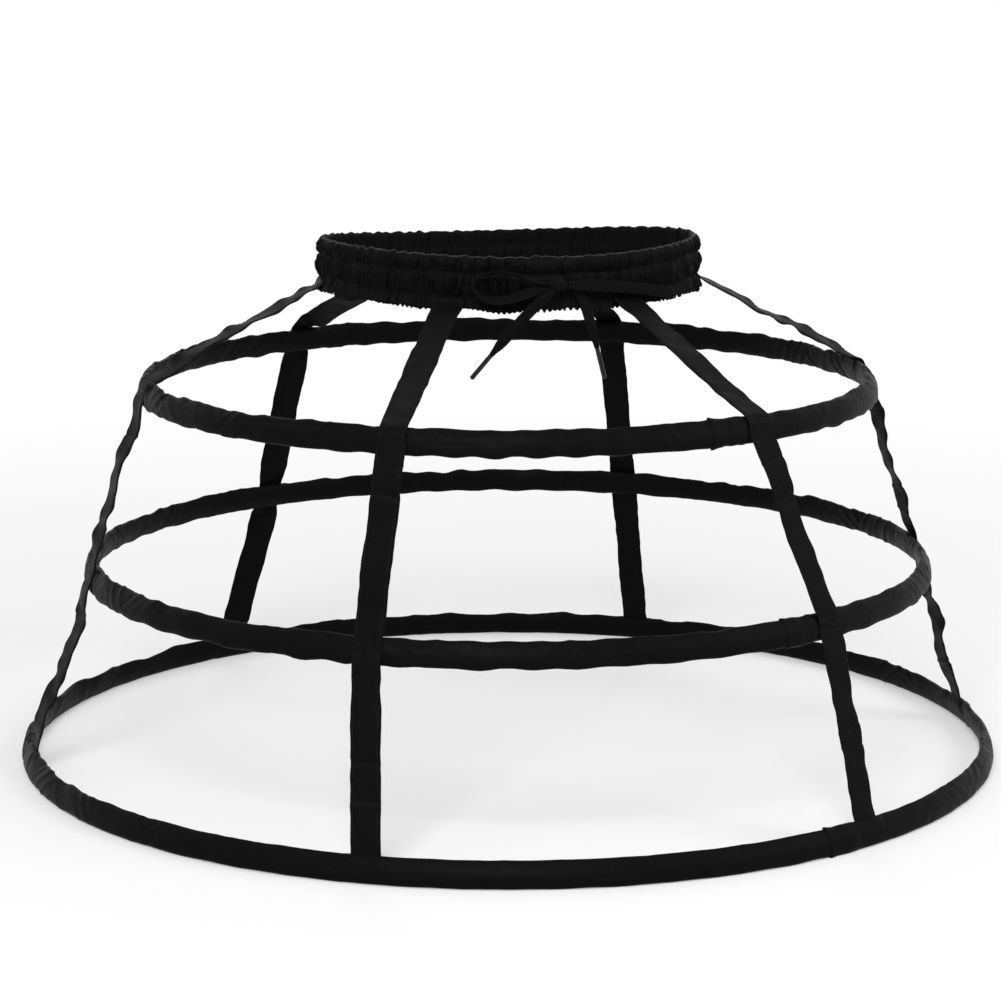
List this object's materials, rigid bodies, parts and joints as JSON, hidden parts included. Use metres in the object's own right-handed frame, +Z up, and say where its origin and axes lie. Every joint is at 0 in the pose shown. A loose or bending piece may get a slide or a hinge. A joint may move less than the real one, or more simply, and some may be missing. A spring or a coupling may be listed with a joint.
{
  "type": "crinoline cage",
  "caption": "Black satin crinoline cage: boned hoops hung on tapes from a gathered elastic waistband with a drawstring bow, worn under a skirt to hold it out.",
  "frame": {"origin": "on the floor, on the cage's axis, under the middle of the bottom hoop", "axes": "+Z up through the waist opening, -Y to the front with the bow, +X to the viewer's right"},
  "size_m": [0.7628, 0.7628, 0.4005],
  "materials": {
    "satin": "black polyester satin",
    "lace": "black ribbed flat lace",
    "elastic": "white braided elastic",
    "boning": "natural plastic tube",
    "aglet": "black shrunk film"
  },
  "bodies": {
    "root": {"waistband_casing": "satin", "waist_elastic": "elastic", "drawstring_channel_run": "lace", "drawstring_knot": "lace", "drawstring_left_loop": "lace", "drawstring_right_loop": "lace", "drawstring_left_tail": "lace", "drawstring_right_tail": "lace", "left_aglet": "aglet", "right_aglet": "aglet", "top_hoop_casing": "satin", "middle_hoop_casing": "satin", "bottom_hoop_casing": "satin", "top_hoop_bone": "boning", "middle_hoop_bone": "boning", "bottom_hoop_bone": "boning", "top_hoop_joiner": "boning", "middle_hoop_joiner": "boning", "bottom_hoop_joiner": "boning", "front_left_tape": "satin", "front_right_tape": "satin", "left_tape": "satin", "right_tape": "satin", "back_left_tape": "satin", "back_right_tape": "satin"}
  },
  "joints": []
}
